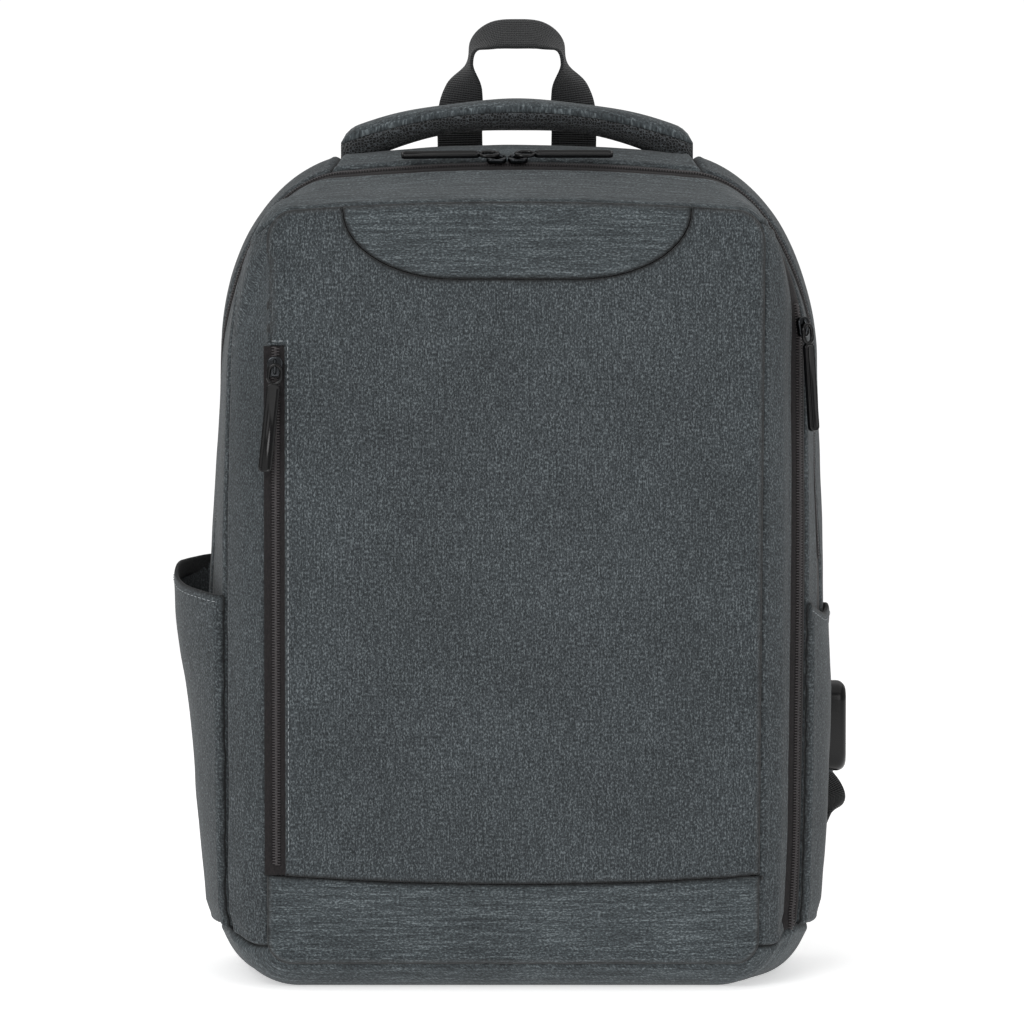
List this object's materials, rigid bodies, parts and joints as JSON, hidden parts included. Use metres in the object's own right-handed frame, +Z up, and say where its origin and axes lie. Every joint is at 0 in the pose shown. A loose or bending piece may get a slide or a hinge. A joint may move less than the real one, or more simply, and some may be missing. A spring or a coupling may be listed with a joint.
{
  "type": "laptop backpack",
  "caption": "Soft grey laptop backpack that stands on its base, with a zipped front, side pockets, grab handle, hanging loop, charging port and padded straps.",
  "frame": {"origin": "middle of the flat base", "axes": "+Z up, -Y out of the front, +Y towards the wearer, +X to the right of someone facing the front"},
  "size_m": [0.3422, 0.1889, 0.4817],
  "materials": {
    "melange_cloth": "matte melange polyester, upright grain",
    "cross_melange_cloth": "matte melange polyester, level grain",
    "zip_tape": "knitted tape",
    "zip_coil": "nylon coil",
    "webbing": "ribbed webbing",
    "spacer_mesh": "open knitted mesh",
    "gloss_plastic": "moulded, glossy",
    "dark_metal": "dark plated"
  },
  "bodies": {
    "root": {"pocket_binding_left": "melange_cloth", "pocket_binding_right": "melange_cloth", "front_panel": "melange_cloth", "front_gusset_left": "melange_cloth", "front_gusset_right": "melange_cloth", "side_panel_left": "melange_cloth", "side_panel_right": "melange_cloth", "gusset_top": "melange_cloth", "gusset_left": "melange_cloth", "gusset_right": "melange_cloth", "back_panel": "melange_cloth", "side_pocket_left": "melange_cloth", "side_pocket_right": "melange_cloth", "strap_tab_left": "melange_cloth", "strap_tab_right": "melange_cloth", "handle_cover": "melange_cloth", "shoulder_strap_left": "melange_cloth", "shoulder_strap_right": "melange_cloth", "yoke": "cross_melange_cloth", "lower_band": "cross_melange_cloth", "top_panel": "cross_melange_cloth", "base_panel": "cross_melange_cloth", "left_zip_tape": "zip_tape", "right_zip_tape": "zip_tape", "main_zip_tape": "zip_tape", "left_zip_coil": "zip_coil", "right_zip_coil": "zip_coil", "main_zip_coil": "zip_coil", "hang_loop": "webbing", "strap_webbing_left": "webbing", "strap_webbing_right": "webbing", "handle_pad": "spacer_mesh", "back_pad_left": "spacer_mesh", "back_pad_right": "spacer_mesh", "port_housing": "gloss_plastic", "ladder_lock_left": "gloss_plastic", "ladder_lock_right": "gloss_plastic", "left_zip_puller": "gloss_plastic", "right_zip_puller": "gloss_plastic", "main_zip_puller_left": "gloss_plastic", "main_zip_puller_right": "gloss_plastic", "port_socket": "dark_metal", "left_zip_slider": "dark_metal", "right_zip_slider": "dark_metal", "main_zip_slider_left": "dark_metal", "main_zip_slider_right": "dark_metal"}
  },
  "joints": []
}
